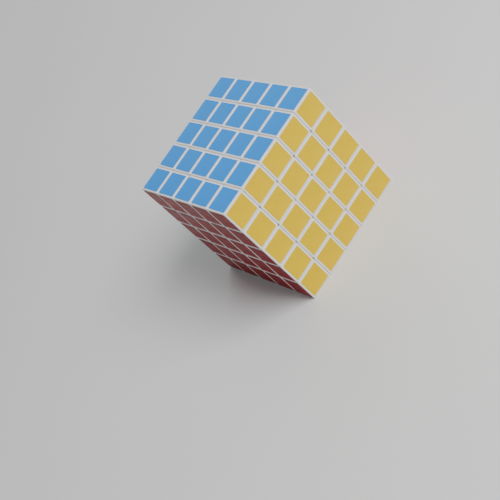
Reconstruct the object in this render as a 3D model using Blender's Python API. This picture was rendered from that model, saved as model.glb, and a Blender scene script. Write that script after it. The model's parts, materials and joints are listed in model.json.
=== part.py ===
"""A five-layer twisty puzzle cube, as separate pieces that turn about its three axes.

Every gap between pieces is either a plane across one of the axes or a sphere about
the centre, so any layer can turn.  Three nested zones hold a piece: its block on the
outside, a foot under its neighbours, and a second foot over the core ball.  All the
shapes are about the cube's centre, and the cube stands on Z = 0.
"""

from math import cos, pi, radians, sin

import bmesh
import bpy
from mathutils import Vector

MM = 0.001

# The cube and its layers.
CUBE = 66.0 * MM
HALF = CUBE / 2
PITCH = CUBE / 5
GAP = 0.3 * MM  # between pieces, across a flat interface
INNER_CUT = PITCH / 2  # between the middle layer and the next
OUTER_CUT = 3 * PITCH / 2  # between an inner and an outer layer
CENTRE = Vector((0, 0, HALF))

# Mechanism: where the two cuts lie in each zone, and the zone's inner and outer radius.
BALL_RADIUS = 22.0 * MM
ZONES = (
    (INNER_CUT, OUTER_CUT, 36.8 * MM, 2 * CUBE),
    (INNER_CUT, 16.6 * MM, 31.25 * MM, 36.05 * MM),
    (4.0 * MM, 13.0 * MM, BALL_RADIUS + 0.4 * MM, 30.6 * MM),
)
SPHERE_DETAIL = 3  # subdivisions of a sphere: its facets lie up to 1.8% inside the radius
NECK_BITE = 1.2 * MM  # how far a neck runs into the zones that it joins

# The shallow grooves that show the single cubes on a moulding of several.
GROOVE_DEPTH = 1.2 * MM
GROOVE_WIDTH = 0.24 * MM
GROOVE_OVERRUN = 1.0 * MM

# Core: a six-armed cross inside a split ball, with a bore over each arm.
BALL_WALL = 2.5 * MM
CAVITY_DETAIL = 2
BORE_RADIUS = 4.0 * MM
COLLAR_RADIUS = 5.1 * MM
ARM_WIDTH = 8.0 * MM
ARM_END = 12.0 * MM
PILOT_RADIUS = 1.35 * MM
PILOT_START = 4.5 * MM

# A centre's stem, which the screw and the spring hold in its bore.
STEM_RADIUS = 3.6 * MM
STEM_END = ARM_END + 0.6 * MM
STEM_TOP = 25.0 * MM
STEM_BORE = 2.8 * MM
STEM_FLOOR = 1.5 * MM
STEM_BORE_TOP = 24.0 * MM
SCREW_HOLE = 1.5 * MM

# Screw and spring.
SHANK_RADIUS = 1.1 * MM
SHANK_START = 5.0 * MM
HEAD_RADIUS = 2.4 * MM
HEAD_START = 19.9 * MM
HEAD_HEIGHT = 1.8 * MM
RECESS_DEPTH = 0.9 * MM
RECESS_LENGTH = 2.8 * MM
RECESS_WIDTH = 0.7 * MM
WIRE_RADIUS = 0.3 * MM
COIL_RADIUS = 2.0 * MM
COIL_TURNS = 4
COIL_STEPS = 7  # to a turn
WIRE_SIDES = 4
SPRING_START = STEM_END + STEM_FLOOR + GAP + WIRE_RADIUS
SPRING_END = HEAD_START - GAP - WIRE_RADIUS
ROUND_SIDES = 16
FLAT_ANGLE = radians(0.2)
MERGE_DISTANCE = 0.001 * MM
SCREW_SIDES = 10

# Where each column of blocks stands, as steps along X and Y from the middle column.
COLUMNS = {
    "front_left": (-1, -1),
    "front": (0, -1),
    "front_right": (1, -1),
    "right": (1, 0),
    "back_right": (1, 1),
    "back": (0, 1),
    "back_left": (-1, 1),
    "left": (-1, 0),
}
LEVELS = {"top": 2, "upper": 1, "middle": 0, "lower": -1, "bottom": -2}

AXES = {
    "right": Vector((1, 0, 0)),
    "left": Vector((-1, 0, 0)),
    "back": Vector((0, 1, 0)),
    "front": Vector((0, -1, 0)),
    "top": Vector((0, 0, 1)),
    "bottom": Vector((0, 0, -1)),
}

WHITE_PLASTIC = ("white_plastic", (0.86, 0.86, 0.84), 0.35, 0.0)
CORE_PLASTIC = ("core_plastic", (0.80, 0.80, 0.78), 0.5, 0.0)
STEEL = ("zinc_plated_steel", (0.62, 0.62, 0.63), 0.3, 1.0)


def clear_scene():
    """Remove whatever objects the file opened with."""
    for obj in list(bpy.data.objects):
        bpy.data.objects.remove(obj)


def material(name, colour, roughness, metallic=0.0):
    """A Principled material of one colour."""
    made = bpy.data.materials.new(name)
    made.use_nodes = True
    shader = made.node_tree.nodes["Principled BSDF"]
    shader.inputs["Base Color"].default_value = (*colour, 1.0)
    shader.inputs["Roughness"].default_value = roughness
    shader.inputs["Metallic"].default_value = metallic
    return made


# ---------------------------------------------------------------- simple solids


def to_mesh(bm, name="shape"):
    """Turn a bmesh into a mesh and free it."""
    mesh = bpy.data.meshes.new(name)
    bm.to_mesh(mesh)
    bm.free()
    return mesh


def box(low, high):
    """A box between two opposite corners."""
    bm = bmesh.new()
    bmesh.ops.create_cube(bm, size=1.0)
    for vert in bm.verts:
        vert.co = [h if c > 0 else l for c, l, h in zip(vert.co, low, high)]
    return to_mesh(bm)


def shell(inner, outer, inner_detail=SPHERE_DETAIL):
    """The space between two spheres about the centre."""
    bm = bmesh.new()
    bmesh.ops.create_icosphere(bm, subdivisions=inner_detail, radius=inner)
    bmesh.ops.reverse_faces(bm, faces=bm.faces)
    bmesh.ops.create_icosphere(bm, subdivisions=SPHERE_DETAIL, radius=outer)
    return to_mesh(bm)


def rod(radius, start, end, sides=ROUND_SIDES):
    """A rod along +Z between two heights."""
    bm = bmesh.new()
    bmesh.ops.create_cone(
        bm,
        cap_ends=True,
        segments=sides,
        radius1=radius,
        radius2=radius,
        depth=end - start,
    )
    bmesh.ops.translate(bm, vec=(0, 0, (start + end) / 2), verts=bm.verts)
    return to_mesh(bm)


def pointed(mesh, direction):
    """A copy of a mesh with its +Z turned to a direction."""
    copy = mesh.copy()
    copy.transform(Vector((0, 0, 1)).rotation_difference(direction).to_matrix().to_4x4())
    return copy


def gathered(meshes):
    """Separate solids held in one mesh, to be used as one tool."""
    bm = bmesh.new()
    for mesh in meshes:
        bm.from_mesh(mesh)
    return to_mesh(bm)


# ---------------------------------------------------------------- Booleans


def combined(base, tool, operation):
    """The mesh that a Boolean makes of two meshes.

    The cells of one block share the planes of their walls, which EXACT leaves open in
    places when it joins them, so unions use MANIFOLD.
    """
    work = bpy.data.objects.new("work", base)
    cutter = bpy.data.objects.new("cutter", tool)
    cutter.hide_render = True
    cutter.display_type = "WIRE"
    for obj in (work, cutter):
        bpy.context.scene.collection.objects.link(obj)
    modifier = work.modifiers.new("Boolean", "BOOLEAN")
    modifier.operation = operation
    modifier.solver = "MANIFOLD" if operation == "UNION" else "EXACT"
    modifier.object = cutter
    depsgraph = bpy.context.evaluated_depsgraph_get()
    result = bpy.data.meshes.new_from_object(work.evaluated_get(depsgraph))
    for obj in (work, cutter):
        bpy.data.objects.remove(obj)
    return result


def joined(meshes):
    """The union of meshes that overlap."""
    result = meshes[0]
    for mesh in meshes[1:]:
        result = combined(result, mesh, "UNION")
    return result


def in_line(vert):
    """Whether a vertex only splits a straight edge."""
    if len(vert.link_edges) != 2:
        return False
    one, other = [edge.other_vert(vert).co - vert.co for edge in vert.link_edges]
    return one.angle(other) > pi - FLAT_ANGLE


def tidied(mesh):
    """A mesh with the flat faces and straight edges that Booleans split made whole again."""
    bm = bmesh.new()
    bm.from_mesh(mesh)
    bmesh.ops.remove_doubles(bm, verts=bm.verts, dist=MERGE_DISTANCE)
    inner = [edge for edge in bm.edges if edge.calc_face_angle(pi) < FLAT_ANGLE]
    bmesh.ops.dissolve_edges(bm, edges=inner, use_verts=False)
    bmesh.ops.dissolve_verts(bm, verts=[vert for vert in bm.verts if in_line(vert)])
    return to_mesh(bm)


# ---------------------------------------------------------------- blocks of the cube


def span(step, inner_cut, outer_cut):
    """The low and high end of a layer along its axis, counted from the middle layer."""
    ends = {
        0: (-inner_cut + GAP / 2, inner_cut - GAP / 2),
        1: (inner_cut + GAP / 2, outer_cut - GAP / 2),
        2: (outer_cut + GAP / 2, HALF),
    }
    low, high = ends[abs(step)]
    return (low, high) if step >= 0 else (-high, -low)


def column_span(step, outer_cut):
    """The low and high end of a column: the three middle layers, or an outer one."""
    if step:
        return span(2 * step, INNER_CUT, outer_cut)
    return (-outer_cut + GAP / 2, outer_cut - GAP / 2)


def block_boxes(column, level):
    """A block's box in each zone."""
    boxes = []
    for inner_cut, outer_cut, _, _ in ZONES:
        spans = (
            column_span(column[0], outer_cut),
            column_span(column[1], outer_cut),
            span(level, inner_cut, outer_cut),
        )
        boxes.append(([s[0] for s in spans], [s[1] for s in spans]))
    return boxes


def centre_boxes(level, margin):
    """The box in each zone of a top or bottom centre, with a margin about its four sides."""
    boxes = []
    for inner_cut, outer_cut, _, _ in ZONES:
        side = inner_cut + margin
        low, high = span(level, inner_cut, outer_cut)
        boxes.append(([-side, -side, low - margin], [side, side, high + margin]))
    return boxes


def with_necks(boxes, low_of, high_of):
    """The zones' boxes, then the box of each neck between two zones."""
    necks = []
    for one, other in zip(boxes, boxes[1:]):
        low = [low_of(pair) for pair in zip(one[0], other[0])]
        high = [high_of(pair) for pair in zip(one[1], other[1])]
        necks.append((low, high))
    return boxes + necks


def zone_spaces():
    """The space between spheres of each zone, then that of each neck."""
    spaces = [shell(inner, outer) for _, _, inner, outer in ZONES]
    for outside, inside in zip(ZONES, ZONES[1:]):
        spaces.append(shell(inside[3] - NECK_BITE, outside[2] + NECK_BITE))
    return spaces


def block(spaces, boxes, hole_boxes=()):
    """A block from its box in each zone, with a column left free through it if asked."""
    solids = [box(*corners) for corners in with_necks(boxes, max, min)]
    if hole_boxes:
        holes = [box(*corners) for corners in with_necks(hole_boxes, min, max)]
        solids = [combined(s, h, "DIFFERENCE") for s, h in zip(solids, holes)]
    cells = [combined(space, s, "INTERSECT") for space, s in zip(spaces, solids)]
    return joined([cell for cell in cells if cell.polygons])


def belts(axis):
    """Two thin square frames round the cube, where its middle layer across an axis ends."""
    inner = HALF - GROOVE_DEPTH
    outer = HALF + GROOVE_OVERRUN
    frames = []
    for place in (-INNER_CUT, INNER_CUT):
        low = [-outer] * 3
        high = [outer] * 3
        low[axis] = place - GROOVE_WIDTH / 2
        high[axis] = place + GROOVE_WIDTH / 2
        core_low = [-inner] * 3
        core_high = [inner] * 3
        frames.append(combined(box(low, high), box(core_low, core_high), "DIFFERENCE"))
    return gathered(frames)


# ---------------------------------------------------------------- stems, core, screws


def with_stem(mesh, direction):
    """A centre with its hollow stem, whose floor the spring presses on."""
    stem = pointed(rod(STEM_RADIUS, STEM_END, STEM_TOP), direction)
    bore = pointed(rod(STEM_BORE, STEM_END + STEM_FLOOR, STEM_BORE_TOP), direction)
    hole = pointed(rod(SCREW_HOLE, STEM_END - GAP, STEM_END + STEM_FLOOR + GAP), direction)
    solid = combined(mesh, stem, "UNION")
    solid = combined(solid, bore, "DIFFERENCE")
    return combined(solid, hole, "DIFFERENCE")


def core_cross():
    """Six arms in one moulding, each with a pilot hole in its end."""
    arms = []
    for axis in range(3):
        reach = [ARM_WIDTH / 2] * 3
        reach[axis] = ARM_END
        arms.append(box([-r for r in reach], reach))
    pilot = rod(PILOT_RADIUS, PILOT_START, ARM_END + GAP, SCREW_SIDES)
    pilots = gathered([pointed(pilot, axis) for axis in AXES.values()])
    return combined(joined(arms), pilots, "DIFFERENCE")


def core_ball():
    """The hollow ball with a collar round each of its six bores."""
    ball = shell(BALL_RADIUS - BALL_WALL, BALL_RADIUS, CAVITY_DETAIL)
    collar = rod(COLLAR_RADIUS, ARM_END + GAP, BALL_RADIUS - BALL_WALL / 2)
    bore = rod(BORE_RADIUS, ARM_END, BALL_RADIUS + GAP)
    collars = gathered([pointed(collar, axis) for axis in AXES.values()])
    bores = gathered([pointed(bore, axis) for axis in AXES.values()])
    return combined(combined(ball, collars, "UNION"), bores, "DIFFERENCE")


def screw(direction):
    """A pan-head screw with a cross recess, from an arm out to above the spring."""
    head_top = HEAD_START + HEAD_HEIGHT
    shank = rod(SHANK_RADIUS, SHANK_START, HEAD_START + HEAD_HEIGHT / 4, SCREW_SIDES)
    solid = combined(rod(HEAD_RADIUS, HEAD_START, head_top), shank, "UNION")
    for length, width in ((RECESS_LENGTH, RECESS_WIDTH), (RECESS_WIDTH, RECESS_LENGTH)):
        low = (-length / 2, -width / 2, head_top - RECESS_DEPTH)
        high = (length / 2, width / 2, head_top + GAP)
        solid = combined(solid, box(low, high), "DIFFERENCE")
    return pointed(solid, direction)


def spring(direction):
    """An open coil about the screw's shank, from the stem's floor to the screw's head."""
    bm = bmesh.new()
    steps = COIL_TURNS * COIL_STEPS
    rings = []
    for step in range(steps + 1):
        turn = 2 * pi * step / COIL_STEPS
        height = SPRING_START + (SPRING_END - SPRING_START) * step / steps
        ring = []
        for side in range(WIRE_SIDES):
            angle = 2 * pi * side / WIRE_SIDES
            reach = COIL_RADIUS + WIRE_RADIUS * cos(angle)
            rise = height + WIRE_RADIUS * sin(angle)
            ring.append(bm.verts.new((reach * cos(turn), reach * sin(turn), rise)))
        rings.append(ring)
    for one, other in zip(rings, rings[1:]):
        for side in range(WIRE_SIDES):
            after = (side + 1) % WIRE_SIDES
            bm.faces.new((one[side], one[after], other[after], other[side]))
    bm.faces.new(rings[0])
    bm.faces.new(reversed(rings[-1]))
    bmesh.ops.recalc_face_normals(bm, faces=bm.faces)
    return pointed(to_mesh(bm), direction)


# ---------------------------------------------------------------- the pieces


def piece(name, mesh, look):
    """A named object about the cube's centre, where all the axes cross."""
    mesh = tidied(mesh)
    mesh.name = name
    mesh.materials.append(look)
    mesh.shade_smooth()
    mesh.set_sharp_from_angle(angle=radians(20))
    obj = bpy.data.objects.new(name, mesh)
    obj.location = CENTRE
    bpy.context.scene.collection.objects.link(obj)
    return obj


def block_name(column, level):
    """What a block is, then where it is."""
    corner_column = all(COLUMNS[column])
    outer_level = abs(LEVELS[level]) == 2
    if outer_level and corner_column:
        return f"corner_{level}_{column}"
    if outer_level:
        return f"edge_bar_{level}_{column}"
    if not corner_column:
        return f"centre_strip_{level}_{column}"
    kind = "edge_middle" if level == "middle" else f"wing_{level}"
    return f"{kind}_{column}"


def build_columns(spaces, look):
    """The eight columns of five blocks that stand round the core."""
    for column, place in COLUMNS.items():
        for level, step in LEVELS.items():
            mesh = block(spaces, block_boxes(place, step))
            if not place[0]:
                mesh = combined(mesh, belts(0), "DIFFERENCE")
            if not place[1]:
                mesh = combined(mesh, belts(1), "DIFFERENCE")
            if step == 0 and column in AXES:
                mesh = with_stem(mesh, AXES[column])
            piece(block_name(column, level), mesh, look)


def build_cap_layers(spaces, look):
    """The fixed centre and the eight centres round it, on the top and the bottom."""
    for level in ("top", "bottom"):
        step = LEVELS[level]
        boxes = block_boxes((0, 0), step)
        ring = block(spaces, boxes, centre_boxes(step, GAP / 2))
        for axis in (0, 1):
            ring = combined(ring, belts(axis), "DIFFERENCE")
        piece(f"centre_ring_{level}", ring, look)
        centre = block(spaces, narrowed(boxes, centre_boxes(step, -GAP / 2)))
        piece(f"fixed_centre_{level}", with_stem(centre, AXES[level]), look)


def narrowed(boxes, sides):
    """Boxes with their X and Y sides taken from other boxes."""
    result = []
    for (low, high), (side_low, side_high) in zip(boxes, sides):
        result.append((side_low[:2] + low[2:], side_high[:2] + high[2:]))
    return result


def build_core(look):
    """The cross and the two halves of the ball about it."""
    piece("core_cross", core_cross(), look)
    ball = core_ball()
    reach = BALL_RADIUS + GAP
    upper = box((-reach, -reach, GAP / 2), (reach, reach, reach))
    lower = box((-reach, -reach, -reach), (reach, reach, -GAP / 2))
    piece("core_shell_upper", combined(ball, upper, "INTERSECT"), look)
    piece("core_shell_lower", combined(ball, lower, "INTERSECT"), look)


def build_fasteners(look):
    """A screw and a spring on each of the six arms."""
    for side, direction in AXES.items():
        piece(f"screw_{side}", screw(direction), look)
        piece(f"spring_{side}", spring(direction), look)


def main():
    """Build every piece of the cube."""
    clear_scene()
    spaces = zone_spaces()
    white = material(*WHITE_PLASTIC)
    build_columns(spaces, white)
    build_cap_layers(spaces, white)
    build_core(material(*CORE_PLASTIC))
    build_fasteners(material(*STEEL))


main()
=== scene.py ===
"""Looks of a five-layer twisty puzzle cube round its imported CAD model.

The 98 cubies and 150 stickers are separate pieces.  Each cubie is a rounded block with
the two feet that hold it, made once for each of the six kinds and turned into place.
Inside are a cross, the two halves of a ball, and six screws and springs.
"""
import json
import random
from itertools import permutations, product
from math import cos, pi, radians, sin

import bmesh
import bpy
from mathutils import Matrix, Vector


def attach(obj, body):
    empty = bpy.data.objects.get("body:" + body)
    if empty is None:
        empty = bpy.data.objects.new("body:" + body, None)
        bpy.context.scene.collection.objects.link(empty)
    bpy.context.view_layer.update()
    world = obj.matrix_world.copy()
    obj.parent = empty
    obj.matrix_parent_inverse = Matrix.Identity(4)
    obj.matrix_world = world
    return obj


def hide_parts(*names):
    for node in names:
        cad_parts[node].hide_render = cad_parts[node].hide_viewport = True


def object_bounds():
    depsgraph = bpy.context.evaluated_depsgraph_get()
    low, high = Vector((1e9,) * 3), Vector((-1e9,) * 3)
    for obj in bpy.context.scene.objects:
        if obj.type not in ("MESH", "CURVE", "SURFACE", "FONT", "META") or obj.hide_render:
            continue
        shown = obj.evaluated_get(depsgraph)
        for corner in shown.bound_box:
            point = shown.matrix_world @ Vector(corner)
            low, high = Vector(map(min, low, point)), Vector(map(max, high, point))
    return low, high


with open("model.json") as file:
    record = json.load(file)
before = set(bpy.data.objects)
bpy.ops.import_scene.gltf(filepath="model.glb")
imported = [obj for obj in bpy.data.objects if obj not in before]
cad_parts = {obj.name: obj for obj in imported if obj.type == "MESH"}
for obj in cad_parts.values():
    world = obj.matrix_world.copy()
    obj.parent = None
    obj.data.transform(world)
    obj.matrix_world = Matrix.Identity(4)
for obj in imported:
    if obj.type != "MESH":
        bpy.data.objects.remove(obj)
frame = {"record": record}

MM = 0.001
CAD_LOW, CAD_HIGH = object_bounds()
CENTRE = (CAD_LOW + CAD_HIGH) / 2
HALF = (CAD_HIGH.x - CAD_LOW.x) / 2
PITCH = 2 * HALF / 5

# Stickers: a thin square of vinyl on each outer face of a cubie.
STICKER_WIDTH = 0.845 * PITCH
STICKER_THICKNESS = 0.16 * MM
STICKER_CORNER = 0.45 * MM
STICKER_EDGE = 0.05 * MM
STICKER_EDGE_STEPS = 2
STICKER_SHARP = 50
STICKER_SLIP = 0.05 * MM  # how far off its place one is stuck
STICKER_TWIST = radians(0.35)
GLUE = 0.01 * MM

# Cubies: the visible block, and the zones that its feet slide in, each with its cuts
# and its inner and outer radius.
FACE = HALF - STICKER_THICKNESS - GLUE
GAP = 0.18 * MM
EDGE_RADIUS = 0.38 * MM
UPRIGHT_RADIUS = 0.8 * MM  # of the edges that run in from a face, where four cubies meet
EDGE_STEPS = 4
CREASE = radians(45)
SHARP = 35  # degrees, above which an edge of a moulding shades sharp
BLOCK_CUTS = (PITCH / 2, 3 * PITCH / 2)
BLOCK_INNER = 36.62 * MM
UPPER_FOOT = ((PITCH / 2, 16.6 * MM), 31.12 * MM, 36.38 * MM)
LOWER_FOOT = ((4.0 * MM, 13.0 * MM), 22.25 * MM, 30.88 * MM)
FOOT_TOP = FACE - 1.2 * MM  # hides a centre's foot under its face
BLOCK_REACH = FOOT_TOP - 0.2 * MM  # radius down to which a block runs into its foot
FOOT_REACH = 27.0 * MM  # the same, from the upper foot into the lower
SPHERE_DETAIL = 5

# Hollow stem of a fixed centre.
STEM_RADIUS = 3.6 * MM
STEM_END = 12.6 * MM
STEM_TOP = 25.0 * MM
STEM_BORE = 2.8 * MM
STEM_FLOOR = 1.5 * MM
STEM_BORE_TOP = 24.0 * MM
SCREW_HOLE = 1.5 * MM
ROUND_SIDES = 48

# Core: a six-armed cross inside a split ball, with a bore and a collar over each arm.
BALL_RADIUS = 22.0 * MM
BALL_WALL = 2.5 * MM
BALL_SPLIT = 0.3 * MM
BALL_REACH = 1.1 * BALL_RADIUS  # of the box that takes one half of it
BORE_RADIUS = 4.0 * MM
COLLAR_RADIUS = 5.1 * MM
ARM_HALF = 4.0 * MM
ARM_EDGE = 0.7 * MM
ARM_END = 12.0 * MM
COLLAR_END = ARM_END + 0.3 * MM
PILOT_RADIUS = 1.4 * MM
PILOT_START = 4.5 * MM

# Screw: a threaded shank with a domed head and a cross recess.
SHANK_RADIUS = 0.98 * MM
SHANK_START = 5.0 * MM
TIP_RADIUS = 0.55 * MM
TIP_LENGTH = 0.8 * MM
THREAD_PITCH = 0.6 * MM
THREAD_DEPTH = 0.32 * MM
THREAD_STEPS = 8  # to a turn, along the screw
THREAD_END = 12.4 * MM
HEAD_RADIUS = 2.4 * MM
HEAD_START = 19.9 * MM
HEAD_RIM = 0.7 * MM
HEAD_HEIGHT = 1.8 * MM
HEAD_STEPS = 8
SCREW_SHARP = 30
RECESS_DEPTH = 0.9 * MM
RECESS_HALF_LENGTH = 1.35 * MM
RECESS_HALF_WIDTH = 0.3 * MM

# Spring: round wire, with its end turns nearly closed.
WIRE_RADIUS = 0.3 * MM
COIL_RADIUS = 2.0 * MM
COIL_TURNS = 5.5
END_TURNS = 0.75
END_PITCH = 0.64 * MM
COIL_STEPS = 28  # to a turn
WIRE_SIDES = 12
SPRING_SHARP = 60
SPRING_PLAY = 0.05 * MM
SPRING_START = STEM_END + STEM_FLOOR + SPRING_PLAY + WIRE_RADIUS
SPRING_END = HEAD_START - SPRING_PLAY - WIRE_RADIUS

# One cubie of each kind, counted in layers from the middle one.
KINDS = {
    "corner": (2, 2, 2),
    "edge": (2, 0, 2),
    "wing": (2, 1, 2),
    "centre_diagonal": (1, 1, 2),
    "centre_side": (1, 0, 2),
    "centre_fixed": (0, 0, 2),
}
LEVELS = {2: "top", 1: "upper", 0: "middle", -1: "lower", -2: "bottom"}
COLUMNS = {
    (-1, -1): "front_left",
    (0, -1): "front",
    (1, -1): "front_right",
    (1, 0): "right",
    (1, 1): "back_right",
    (0, 1): "back",
    (-1, 1): "back_left",
    (-1, 0): "left",
}
SIDES = {
    "right": Vector((1, 0, 0)),
    "left": Vector((-1, 0, 0)),
    "back": Vector((0, 1, 0)),
    "front": Vector((0, -1, 0)),
    "top": Vector((0, 0, 1)),
    "bottom": Vector((0, 0, -1)),
}
# Each side's colour name, and its vinyl's colour, linear. The left side's red is darker
# than the vinyl's own red: painted shade on that side.
STICKERS = {
    "top": ("blue", (0.010, 0.275, 0.82)),
    "front": ("yellow", (0.78, 0.52, 0.001)),
    # partly the vinyl's real red, partly painted shade darkening the left side
    "left": ("red", (0.31, 0.006, 0.012)),
    "right": ("orange", (0.90, 0.20, 0.012)),
    "back": ("black", (0.012, 0.012, 0.014)),
    "bottom": ("green", (0.012, 0.30, 0.055)),
}

# Camera: where it stands as seen from the cube, its tilt, and where it aims.
CAMERA_AZIMUTH = -17.9
CAMERA_ELEVATION = 34.4
CAMERA_ROLL = -45.6
CAMERA_DISTANCE = 486.0 * MM
CAMERA_LENS = 77.1
AIM_RIGHT = -7.7 * MM
AIM_UP = -29.9 * MM

FLOOR_DROP = 0.03 * MM  # keeps the floor off the bottom stickers

FLOOR_REACH = 4.0  # metres

# Lamps: azimuth and elevation in degrees, distance and size in metres, watts.
LAMPS = {
    "key": (26, 46, 0.9, 0.5, 8.6),
    "rear": (150, 35, 1.2, 0.8, 3.5),
}
# The room's light: strength away from and towards its bright side, and where that is.
ROOM_DIM = 0.03
ROOM_BRIGHT = 0.5
ROOM_AZIMUTH = 50
ROOM_COLOUR = (0.96, 0.98, 1.0, 1.0)

# Plastics: colour, linear, and roughness.
WHITE_PLASTIC = ((0.88, 0.88, 0.87), 0.34)
CORE_PLASTIC = ((0.78, 0.78, 0.76), 0.5)

rng = random.Random(5)


# ---------------------------------------------------------------- solids


def to_mesh(bm, name="shape"):
    """Turn a bmesh into a mesh and free it."""
    mesh = bpy.data.meshes.new(name)
    bm.to_mesh(mesh)
    bm.free()
    return mesh


def box(low, high):
    """A bmesh box between two opposite corners."""
    bm = bmesh.new()
    bmesh.ops.create_cube(bm, size=1.0)
    for vert in bm.verts:
        vert.co = [h if c > 0 else l for c, l, h in zip(vert.co, low, high)]
    return bm


def rounded(bm, edges, radius, steps):
    """Round some edges of a bmesh."""
    bmesh.ops.bevel(
        bm,
        geom=edges,
        offset=radius,
        segments=steps,
        profile=0.5,
        affect="EDGES",
    )


def ball(radius):
    """A ball about the centre, of triangles fine enough to look round."""
    bm = bmesh.new()
    bmesh.ops.create_icosphere(bm, subdivisions=SPHERE_DETAIL, radius=radius)
    return to_mesh(bm)


def rod(radius, start, end):
    """A rod along +Z between two heights."""
    bm = bmesh.new()
    bmesh.ops.create_cone(
        bm,
        cap_ends=True,
        segments=ROUND_SIDES,
        radius1=radius,
        radius2=radius,
        depth=end - start,
    )
    bmesh.ops.translate(bm, vec=(0, 0, (start + end) / 2), verts=bm.verts)
    return to_mesh(bm)


def smoothed(mesh, sharp_degrees):
    """A mesh shaded smooth over its rounded edges, with its flat faces kept flat."""
    mesh.shade_smooth()
    mesh.set_sharp_from_angle(angle=radians(sharp_degrees))
    work = bpy.data.objects.new("work", mesh)
    bpy.context.scene.collection.objects.link(work)
    modifier = work.modifiers.new("Weighted normals", "WEIGHTED_NORMAL")
    modifier.keep_sharp = True
    depsgraph = bpy.context.evaluated_depsgraph_get()
    result = bpy.data.meshes.new_from_object(work.evaluated_get(depsgraph))
    bpy.data.objects.remove(work)
    return result


def combined(base, tool, operation):
    """The mesh that a Boolean makes of two meshes."""
    work = bpy.data.objects.new("work", base)
    cutter = bpy.data.objects.new("cutter", tool)
    for obj in (work, cutter):
        bpy.context.scene.collection.objects.link(obj)
    modifier = work.modifiers.new("Boolean", "BOOLEAN")
    modifier.operation = operation
    modifier.solver = "MANIFOLD"
    modifier.object = cutter
    depsgraph = bpy.context.evaluated_depsgraph_get()
    result = bpy.data.meshes.new_from_object(work.evaluated_get(depsgraph))
    for obj in (work, cutter):
        bpy.data.objects.remove(obj)
    result.materials.clear()  # a Boolean leaves an empty slot
    return result


# ---------------------------------------------------------------- cubies


def zone_box(place, cuts, top):
    """A cubie's box in a zone, whose outer layers end at a given height."""
    inner, outer = cuts
    spans = (
        (-inner + GAP / 2, inner - GAP / 2),
        (inner + GAP / 2, outer - GAP / 2),
        (outer + GAP / 2, top),
    )
    return box([spans[step][0] for step in place], [spans[step][1] for step in place])


def runs_in(edge, place):
    """Whether an edge runs in from an outer face, between a cubie and its neighbours."""
    one, other = [vert.co for vert in edge.verts]
    for axis in range(3):
        if abs(one[axis] - other[axis]) > GAP:
            if place[axis] != 2:
                return False
        elif abs(one[axis] - FACE) < GAP:
            return False
    return True


def rounded_block(place):
    """The block that shows, its edges rounded, more so where four cubies meet."""
    bm = zone_box(place, BLOCK_CUTS, FACE)
    uprights = [edge for edge in bm.edges if runs_in(edge, place)]
    rounded(bm, uprights, UPRIGHT_RADIUS, EDGE_STEPS)
    creases = [edge for edge in bm.edges if edge.calc_face_angle(0) > CREASE]
    rounded(bm, creases, EDGE_RADIUS, EDGE_STEPS)
    return to_mesh(bm)


def visible_block(place):
    """The block, cut round underneath where its neighbours' feet pass."""
    column = to_mesh(zone_box(place, UPPER_FOOT[0], 2 * HALF))
    hollow = combined(ball(BLOCK_INNER), column, "DIFFERENCE")
    block = combined(rounded_block(place), hollow, "DIFFERENCE")
    return combined(block, ball(BLOCK_REACH), "DIFFERENCE")


def upper_foot(place):
    """The foot that runs under the neighbours' blocks, cut round over their lower feet."""
    cuts, inner, outer = UPPER_FOOT
    top = FOOT_TOP if place.count(2) == 1 else FACE
    foot = combined(to_mesh(zone_box(place, cuts, top)), ball(outer), "INTERSECT")
    column = to_mesh(zone_box(place, LOWER_FOOT[0], 2 * HALF))
    hollow = combined(ball(inner), column, "DIFFERENCE")
    foot = combined(foot, hollow, "DIFFERENCE")
    return combined(foot, ball(FOOT_REACH), "DIFFERENCE")


def lower_foot(place):
    """The foot that runs on the core ball."""
    cuts, inner, outer = LOWER_FOOT
    foot = combined(to_mesh(zone_box(place, cuts, 2 * HALF)), ball(outer), "INTERSECT")
    return combined(foot, ball(inner), "DIFFERENCE")


def with_stem(mesh):
    """A fixed centre with its hollow stem along +Z, whose floor the spring presses on."""
    solid = combined(mesh, rod(STEM_RADIUS, STEM_END, STEM_TOP), "UNION")
    bore = rod(STEM_BORE, STEM_END + STEM_FLOOR, STEM_BORE_TOP)
    solid = combined(solid, bore, "DIFFERENCE")
    hole = rod(SCREW_HOLE, STEM_END - GAP, STEM_END + STEM_FLOOR + GAP)
    return combined(solid, hole, "DIFFERENCE")


def cubie_mesh(kind, place):
    """One cubie of a kind, about the cube's centre."""
    mesh = visible_block(place)
    for foot in (upper_foot(place), lower_foot(place)):
        mesh = combined(mesh, foot, "UNION")
    if kind == "centre_fixed":
        mesh = with_stem(mesh)
    mesh = smoothed(mesh, SHARP)
    mesh.name = kind
    return mesh


def turns():
    """The 24 turns that bring a cube onto itself."""
    for order in permutations(range(3)):
        for signs in product((1, -1), repeat=3):
            turn = Matrix([[0, 0, 0]] * 3)
            for row, (column, sign) in enumerate(zip(order, signs)):
                turn[row][column] = sign
            if turn.determinant() > 0:
                yield turn


def cad_node(place):
    """The CAD node that a cubie at a place belongs to."""
    x, y, z = place
    column = (int(x / 2), int(y / 2))
    level = LEVELS[z]
    if column == (0, 0):
        return f"centre_ring_{level}" if x or y else f"fixed_centre_{level}"
    name = COLUMNS[column]
    outer_level = abs(z) == 2
    if all(column):
        if outer_level:
            return f"corner_{level}_{name}"
        return f"wing_{level}_{name}" if z else f"edge_middle_{name}"
    return f"edge_bar_{level}_{name}" if outer_level else f"centre_strip_{level}_{name}"


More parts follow.
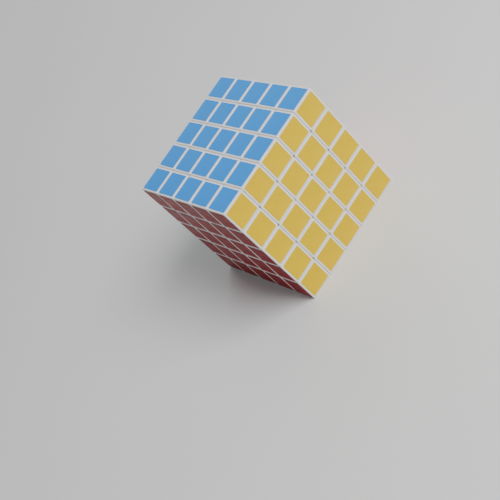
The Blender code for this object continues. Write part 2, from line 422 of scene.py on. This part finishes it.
def place_cubies(look):
    """Every cubie of each kind, turned into place, riding on its body."""
    body_of = {}
    for body, nodes in frame["record"]["behaviour"]["bodies"].items():
        for node in nodes:
            body_of[node] = body
    placed = {}
    for kind, first in KINDS.items():
        mesh = cubie_mesh(kind, first)
        mesh.materials.append(look)
        for turn in turns():
            place = tuple(int(round(step)) for step in turn @ Vector(first))
            if place in placed:
                continue
            column, row, level = [step + 3 for step in place]
            cubie = bpy.data.objects.new(f"{kind}_x{column}_y{row}_z{level}", mesh)
            cubie.matrix_world = Matrix.Translation(CENTRE) @ turn.to_4x4()
            bpy.context.scene.collection.objects.link(cubie)
            node = cad_node(place)
            placed[place] = body_of[node]
            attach(cubie, body_of[node])
            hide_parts(node)
    return placed


# ---------------------------------------------------------------- core


def pointed(way):
    """The turn that points +Z another way."""
    return way.to_track_quat("Z", "Y").to_matrix().to_4x4()


def along(mesh, way):
    """A copy of a mesh made along +Z, turned to point another way."""
    copy = mesh.copy()
    copy.transform(pointed(way))
    return copy


def core_cross():
    """Six arms in one moulding, each with a pilot hole in its end."""
    reach = Vector((ARM_HALF, ARM_HALF, ARM_END))
    bm = box(-reach, reach)
    rounded(bm, bm.edges[:], ARM_EDGE, EDGE_STEPS)
    arm = to_mesh(bm)
    cross = combined(arm, along(arm, SIDES["right"]), "UNION")
    cross = combined(cross, along(arm, SIDES["back"]), "UNION")
    pilot = rod(PILOT_RADIUS, PILOT_START, COLLAR_END)
    for way in SIDES.values():
        cross = combined(cross, along(pilot, way), "DIFFERENCE")
    return smoothed(cross, SHARP)


def core_ball():
    """The hollow ball with a collar round each of its six bores."""
    solid = combined(ball(BALL_RADIUS), ball(BALL_RADIUS - BALL_WALL), "DIFFERENCE")
    collar = rod(COLLAR_RADIUS, COLLAR_END, BALL_RADIUS - BALL_WALL / 2)
    bore = rod(BORE_RADIUS, ARM_END, BALL_RADIUS + GAP)
    for way in SIDES.values():
        solid = combined(solid, along(collar, way), "UNION")
    for way in SIDES.values():
        solid = combined(solid, along(bore, way), "DIFFERENCE")
    return solid


def half_ball(solid, up):
    """The half of the ball above or below its split."""
    low = (-BALL_REACH, -BALL_REACH, BALL_SPLIT / 2)
    side = to_mesh(box(low, (BALL_REACH, BALL_REACH, BALL_REACH)))
    if not up:
        side = along(side, SIDES["bottom"])
    return smoothed(combined(solid, side, "INTERSECT"), SHARP)


def swept(rings):
    """A closed solid through rings of points, with both ends filled."""
    bm = bmesh.new()
    loops = [[bm.verts.new(point) for point in ring] for ring in rings]
    for one, other in zip(loops, loops[1:]):
        for side, vert in enumerate(one):
            after = (side + 1) % len(one)
            bm.faces.new((vert, one[after], other[after], other[side]))
    bm.faces.new(loops[0])
    bm.faces.new(reversed(loops[-1]))
    bmesh.ops.recalc_face_normals(bm, faces=bm.faces)
    return to_mesh(bm)


def ridge(height, angle):
    """How far the thread stands out of the shank at a height and an angle."""
    turn = (height / THREAD_PITCH - angle / (2 * pi)) % 1
    return THREAD_DEPTH * max(0.0, 1 - 4 * abs(turn - 0.5))


def screw_ring(height, radius, threaded=False):
    """A ring of points round the screw's axis."""
    ring = []
    for side in range(ROUND_SIDES):
        angle = 2 * pi * side / ROUND_SIDES
        reach = radius + (ridge(height, angle) if threaded else 0.0)
        ring.append((reach * cos(angle), reach * sin(angle), height))
    return ring


def screw():
    """A pan-head screw along +Z."""
    rings = [screw_ring(SHANK_START, TIP_RADIUS)]
    height = SHANK_START + TIP_LENGTH
    while height < THREAD_END:
        rings.append(screw_ring(height, SHANK_RADIUS, True))
        height += THREAD_PITCH / THREAD_STEPS
    rings.append(screw_ring(height, SHANK_RADIUS))
    rings.append(screw_ring(HEAD_START, SHANK_RADIUS))
    rings.append(screw_ring(HEAD_START, HEAD_RADIUS))
    dome = HEAD_HEIGHT - HEAD_RIM
    for step in range(HEAD_STEPS):
        turn = pi / 2 * step / HEAD_STEPS
        rise = HEAD_START + HEAD_RIM + dome * sin(turn)
        rings.append(screw_ring(rise, HEAD_RADIUS * cos(turn)))
    solid = swept(rings)
    floor = HEAD_START + HEAD_HEIGHT - RECESS_DEPTH
    top = HEAD_START + HEAD_HEIGHT + GAP
    long, wide = RECESS_HALF_LENGTH, RECESS_HALF_WIDTH
    for x, y in ((long, wide), (wide, long)):
        solid = combined(solid, to_mesh(box((-x, -y, floor), (x, y, top))), "DIFFERENCE")
    return smoothed(solid, SCREW_SHARP)


def coil_height(wound):
    """The height of the spring's wire once it has wound a number of turns."""
    ends = END_TURNS * END_PITCH
    pitch = (SPRING_END - SPRING_START - 2 * ends) / (COIL_TURNS - 2 * END_TURNS)
    first = min(wound, END_TURNS)
    last = max(0.0, wound - (COIL_TURNS - END_TURNS))
    return SPRING_START + (first + last) * END_PITCH + (wound - first - last) * pitch


def spring():
    """A coil of round wire along +Z."""
    rings = []
    for step in range(int(COIL_TURNS * COIL_STEPS) + 1):
        turn = 2 * pi * step / COIL_STEPS
        ring = []
        for side in range(WIRE_SIDES):
            angle = 2 * pi * side / WIRE_SIDES
            reach = COIL_RADIUS + WIRE_RADIUS * cos(angle)
            rise = coil_height(step / COIL_STEPS) + WIRE_RADIUS * sin(angle)
            ring.append((reach * cos(turn), reach * sin(turn), rise))
        rings.append(ring)
    return smoothed(swept(rings), SPRING_SHARP)


def place_core_piece(name, mesh, way=SIDES["top"]):
    """A piece of the core, in place of the CAD node of its name."""
    obj = bpy.data.objects.new(f"fine_{name}", mesh)
    obj.matrix_world = Matrix.Translation(CENTRE) @ pointed(way)
    bpy.context.scene.collection.objects.link(obj)
    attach(obj, "core")
    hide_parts(name)


def place_core(plastic, steel):
    """The cross, the two halves of the ball, and the six screws and springs."""
    solid = core_ball()
    mouldings = {
        "core_cross": core_cross(),
        "core_shell_upper": half_ball(solid, True),
        "core_shell_lower": half_ball(solid, False),
    }
    for name, mesh in mouldings.items():
        mesh.materials.append(plastic)
        place_core_piece(name, mesh)
    for kind, mesh in (("screw", screw()), ("spring", spring())):
        mesh.materials.append(steel)
        for side, way in SIDES.items():
            place_core_piece(f"{kind}_{side}", mesh, way)


# ---------------------------------------------------------------- stickers


def sticker_mesh():
    """A thin square of vinyl with clipped corners, lying on Z = 0."""
    half = STICKER_WIDTH / 2
    bm = box((-half, -half, 0), (half, half, STICKER_THICKNESS))
    uprights = [e for e in bm.edges if e.verts[0].co.z != e.verts[1].co.z]
    rounded(bm, uprights, STICKER_CORNER, EDGE_STEPS)
    rim = [e for e in bm.edges if min(v.co.z for v in e.verts) > STICKER_THICKNESS / 2]
    rounded(bm, rim, STICKER_EDGE, STICKER_EDGE_STEPS)
    return smoothed(to_mesh(bm), STICKER_SHARP)


def place_stickers(cubies, looks):
    """A sticker on each outer face of each cubie, in its side's colour."""
    blank = sticker_mesh()
    for side, normal in SIDES.items():
        mesh = blank.copy()
        mesh.materials.append(looks[side])
        axis = max(range(3), key=lambda i: abs(normal[i]))
        facing = pointed(normal)
        number = 0
        for place, body in sorted(cubies.items()):
            if place[axis] != 2 * normal[axis]:
                continue
            number += 1
            spot = Vector(place) * PITCH
            spot[axis] = normal[axis] * (FACE + GLUE)
            slip = [rng.uniform(-STICKER_SLIP, STICKER_SLIP) for _ in range(2)]
            twist = rng.uniform(-STICKER_TWIST, STICKER_TWIST)
            lie = Matrix.Translation((*slip, 0)) @ Matrix.Rotation(twist, 4, "Z")
            sticker = bpy.data.objects.new(f"sticker_{side}_{number:02d}", mesh)
            sticker.matrix_world = Matrix.Translation(CENTRE + spot) @ facing @ lie
            bpy.context.scene.collection.objects.link(sticker)
            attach(sticker, body)


# ---------------------------------------------------------------- materials


class Nodes:
    """A material's node tree, with short calls for the nodes that the looks share."""

    def __init__(self, name):
        self.material = bpy.data.materials.new(name)
        self.material.use_nodes = True
        self.tree = self.material.node_tree
        self.shader = self.tree.nodes["Principled BSDF"]
        self.place = self.tree.nodes.new("ShaderNodeTexCoord").outputs["Object"]

    def link(self, output, socket):
        """Feed an output into a socket."""
        self.tree.links.new(output, socket)

    def noise(self, per_metre, detail=3.0, stretch=None):
        """Noise with a number of waves per metre, drawn out along an axis if asked."""
        place = self.place
        if stretch:
            mapping = self.tree.nodes.new("ShaderNodeMapping")
            mapping.inputs["Scale"].default_value = stretch
            self.link(place, mapping.inputs["Vector"])
            place = mapping.outputs["Vector"]
        node = self.tree.nodes.new("ShaderNodeTexNoise")
        node.inputs["Scale"].default_value = per_metre
        node.inputs["Detail"].default_value = detail
        self.link(place, node.inputs["Vector"])
        return node.outputs["Fac"]

    def ramp(self, value, stops):
        """Colours or greys along a value: (where, colour) pairs."""
        node = self.tree.nodes.new("ShaderNodeValToRGB")
        elements = node.color_ramp.elements
        while len(elements) < len(stops):
            elements.new(0.5)
        for element, (where, colour) in zip(elements, stops):
            element.position = where
            element.color = (*colour, 1.0) if len(colour) == 3 else (*colour * 3, 1.0)
        self.link(value, node.inputs["Fac"])
        return node.outputs["Color"]

    def bump(self, height, distance, strength=1.0, below=None):
        """A bump from a height, over another one if given."""
        node = self.tree.nodes.new("ShaderNodeBump")
        node.inputs["Distance"].default_value = distance
        node.inputs["Strength"].default_value = strength
        self.link(height, node.inputs["Height"])
        if below is not None:
            self.link(below, node.inputs["Normal"])
        return node.outputs["Normal"]


def shaded(colour, factor):
    """A colour made lighter or darker."""
    return tuple(min(1.0, channel * factor) for channel in colour)


def moulded_plastic(name, colour, roughness):
    """Moulded plastic: faint clouding, a fine texture and small rubbed patches."""
    made = Nodes(name)
    cloud = made.noise(90.0, 4.0)
    made.link(
        made.ramp(cloud, [(0.3, shaded(colour, 0.95)), (0.7, shaded(colour, 1.02))]),
        made.shader.inputs["Base Color"],
    )
    rub = made.noise(420.0, 5.0)
    made.link(
        made.ramp(rub, [(0.3, (roughness - 0.06,)), (0.7, (roughness + 0.08,))]),
        made.shader.inputs["Roughness"],
    )
    grain = made.noise(2600.0, 2.0)
    made.link(made.bump(grain, 0.012 * MM), made.shader.inputs["Normal"])
    made.shader.inputs["IOR"].default_value = 1.5
    return made.material


def vinyl(name, colour):
    """Printed vinyl: even colour, a faint orange-peel and hairline scratches."""
    made = Nodes(name)
    cloud = made.noise(60.0, 3.0)
    made.link(
        made.ramp(cloud, [(0.3, shaded(colour, 0.94)), (0.7, shaded(colour, 1.05))]),
        made.shader.inputs["Base Color"],
    )
    handled = made.noise(160.0, 5.0)
    made.link(
        made.ramp(handled, [(0.35, (0.30,)), (0.7, (0.42,))]),
        made.shader.inputs["Roughness"],
    )
    scratch = made.noise(240.0, 2.0, stretch=(1.0, 14.0, 14.0))
    peel = made.bump(made.noise(900.0, 2.0), 0.008 * MM)
    hair = made.ramp(scratch, [(0.60, (0.0,)), (0.66, (1.0,))])
    made.link(made.bump(hair, 0.004 * MM, 0.6, peel), made.shader.inputs["Normal"])
    made.shader.inputs["Specular IOR Level"].default_value = 0.08
    return made.material


def plated_steel(name):
    """Zinc-plated steel: a cool grey with a drawn grain and dull patches."""
    made = Nodes(name)
    patch = made.noise(700.0, 4.0)
    made.link(
        made.ramp(patch, [(0.3, (0.50, 0.51, 0.53)), (0.7, (0.68, 0.69, 0.70))]),
        made.shader.inputs["Base Color"],
    )
    made.link(
        made.ramp(patch, [(0.3, (0.36,)), (0.7, (0.22,))]),
        made.shader.inputs["Roughness"],
    )
    drawn = made.noise(3000.0, 2.0, stretch=(1.0, 1.0, 0.15))
    made.link(made.bump(drawn, 0.01 * MM), made.shader.inputs["Normal"])
    made.shader.inputs["Metallic"].default_value = 1.0
    return made.material


# ---------------------------------------------------------------- floor, light, camera


def add_floor():
    """A wide pale floor."""
    bm = bmesh.new()
    bmesh.ops.create_grid(bm, x_segments=1, y_segments=1, size=FLOOR_REACH)
    floor = bpy.data.objects.new("floor", to_mesh(bm, "floor"))
    floor.location.z = CAD_LOW.z - FLOOR_DROP
    made = Nodes("floor")
    cloud = made.noise(6.0, 3.0)
    made.link(
        made.ramp(cloud, [(0.3, (0.86, 0.86, 0.855)), (0.7, (0.89, 0.89, 0.885))]),
        made.shader.inputs["Base Color"],
    )
    made.shader.inputs["Roughness"].default_value = 0.85
    floor.data.materials.append(made.material)
    bpy.context.scene.collection.objects.link(floor)


def direction(azimuth, elevation):
    """The unit vector from the cube towards a place, azimuth 0 being the front."""
    a = radians(azimuth)
    e = radians(elevation)
    return Vector((sin(a) * cos(e), -cos(a) * cos(e), sin(e)))


def add_lamp(name, azimuth, elevation, distance, size, power):
    """A square soft lamp aimed at the cube from a direction, in degrees."""
    lamp = bpy.data.lights.new(name, "AREA")
    lamp.size = size
    lamp.energy = power
    obj = bpy.data.objects.new(name, lamp)
    away = direction(azimuth, elevation)
    obj.location = CENTRE + away * distance
    obj.rotation_euler = away.to_track_quat("Z", "Y").to_euler()
    bpy.context.scene.collection.objects.link(obj)


def add_light():
    """A key from the right and above, a weaker rear light, and a room dim on the left."""
    for name, placing in LAMPS.items():
        add_lamp(name, *placing)
    world = bpy.data.worlds.new("room")
    world.use_nodes = True
    tree = world.node_tree
    facing = tree.nodes.new("ShaderNodeVectorMath")
    facing.operation = "DOT_PRODUCT"
    facing.inputs[1].default_value = direction(ROOM_AZIMUTH, 0)
    ramp = tree.nodes.new("ShaderNodeMapRange")
    ramp.inputs["From Min"].default_value = -1.0
    ramp.inputs["To Min"].default_value = ROOM_DIM
    ramp.inputs["To Max"].default_value = ROOM_BRIGHT
    place = tree.nodes.new("ShaderNodeTexCoord").outputs["Generated"]
    tree.links.new(place, facing.inputs[0])
    tree.links.new(facing.outputs["Value"], ramp.inputs["Value"])
    background = tree.nodes["Background"]
    background.inputs["Color"].default_value = ROOM_COLOUR
    tree.links.new(ramp.outputs["Result"], background.inputs["Strength"])
    bpy.context.scene.world = world


def add_camera():
    """A long lens from the front left and above, tilted, aimed below the cube."""
    data = bpy.data.cameras.new("camera")
    data.lens = CAMERA_LENS
    data.clip_start = 0.01
    camera = bpy.data.objects.new("camera", data)
    away = direction(CAMERA_AZIMUTH, CAMERA_ELEVATION)
    upright = away.to_track_quat("Z", "Y").to_matrix()
    turned = upright @ Matrix.Rotation(radians(CAMERA_ROLL), 3, "Z")
    aim = CENTRE + turned @ Vector((AIM_RIGHT, AIM_UP, 0))
    camera.location = CENTRE + away * CAMERA_DISTANCE
    back = (camera.location - aim).normalized()
    side = (turned @ Vector((0, 1, 0))).cross(back).normalized()
    basis = Matrix((side, back.cross(side), back)).transposed()
    camera.rotation_euler = basis.to_euler()
    bpy.context.scene.collection.objects.link(camera)
    bpy.context.scene.camera = camera


# ---------------------------------------------------------------- the scene


white = moulded_plastic("white_plastic", *WHITE_PLASTIC)
vinyls = {side: vinyl(f"vinyl_{name}", colour) for side, (name, colour) in STICKERS.items()}
place_stickers(place_cubies(white), vinyls)
place_core(moulded_plastic("core_plastic", *CORE_PLASTIC), plated_steel("steel"))
add_floor()
add_light()
add_camera()
